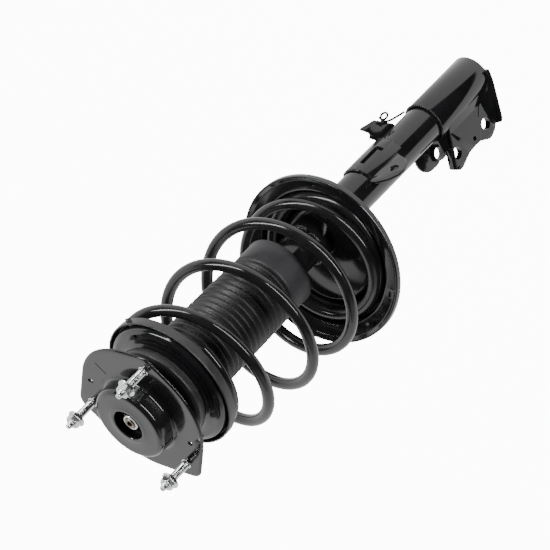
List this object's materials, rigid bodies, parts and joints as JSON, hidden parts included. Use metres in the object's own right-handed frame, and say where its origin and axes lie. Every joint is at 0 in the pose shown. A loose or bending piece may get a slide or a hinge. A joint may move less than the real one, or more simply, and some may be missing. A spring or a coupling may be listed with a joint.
{
  "type": "suspension strut assembly",
  "caption": "Front suspension strut of a car: studded top mount, bearing, coil spring, dust boot, damper with tilted spring seat, and knuckle, drop-link and hose brackets.",
  "frame": {"origin": "on the piston rod's axis, at the top face of the mounting plate, where the strut bolts up into the body's strut tower", "axes": "+Z along the piston rod towards the studs; +X from the rod's axis through stud_a; the strut is held up by its top mount"},
  "size_m": [0.2107, 0.2148, 0.7055],
  "materials": {
    "black_paint": "gloss black paint",
    "bright_zinc": "bright zinc plate",
    "plain_steel": "machined steel",
    "hard_chrome": "ground and polished",
    "black_rubber": "matte moulded rubber",
    "stop_foam": "microcellular foam",
    "boot_rubber": "matte black thermoplastic rubber",
    "bearing_plastic": "glass-filled nylon",
    "piston_band": "filled PTFE"
  },
  "bodies": {
    "mount": {"mount_plate": "black_paint", "mount_cup": "black_paint", "mount_rubber": "black_rubber", "inner_sleeve": "plain_steel", "rod_washer": "black_paint", "rod_nut": "bright_zinc", "stud_a": "bright_zinc", "stud_b": "bright_zinc", "stud_c": "bright_zinc", "stud_nut_a": "bright_zinc", "stud_nut_b": "bright_zinc", "stud_nut_c": "bright_zinc", "piston_rod": "hard_chrome", "rebound_stop": "black_rubber", "piston": "plain_steel", "piston_band": "piston_band", "piston_nut": "plain_steel", "bearing_upper_race": "bearing_plastic"},
    "bearing_cage": {"bearing_cage": "bearing_plastic"},
    "upper_seat": {"bearing_lower_race": "bearing_plastic", "bearing_seal": "black_rubber", "upper_spring_seat": "black_paint", "upper_spring_pad": "black_rubber", "bump_stop": "stop_foam", "coil_spring": "black_paint", "dust_boot": "boot_rubber"},
    "strut_body": {"strut_tube": "black_paint", "base_cap": "black_paint", "pressure_tube": "plain_steel", "base_valve": "plain_steel", "rod_guide": "plain_steel", "rod_seal": "black_rubber", "gland_ring": "plain_steel", "bump_cap": "bearing_plastic", "lower_spring_seat": "black_paint", "lower_spring_pad": "black_rubber", "knuckle_bracket": "black_paint", "knuckle_brace": "black_paint", "link_bracket": "black_paint", "hose_bracket": "black_paint", "hose_clip": "bright_zinc"}
  },
  "joints": [
    {"name": "steer_swivel", "type": "hinge", "parent": "mount", "child": "upper_seat", "pos_m": [0, 0, -0.036], "axis": [0, 0, 1], "range_deg": [-40, 40]},
    {"name": "cage_roll", "type": "hinge", "parent": "mount", "child": "bearing_cage", "pos_m": [0, 0, -0.0349], "axis": [0, 0, 1], "range_deg": [-20, 20]},
    {"name": "compression", "type": "slide", "parent": "upper_seat", "child": "strut_body", "axis": [0, 0, 1], "range_m": [0, 0.128], "stiffness_N_per_m": 24000, "springref_m": -0.03, "deforming": ["coil_spring", "dust_boot"]}
  ],
  "couplings": [
    {"joint": "cage_roll", "follows": "steer_swivel", "ratio": 0.5}
  ]
}
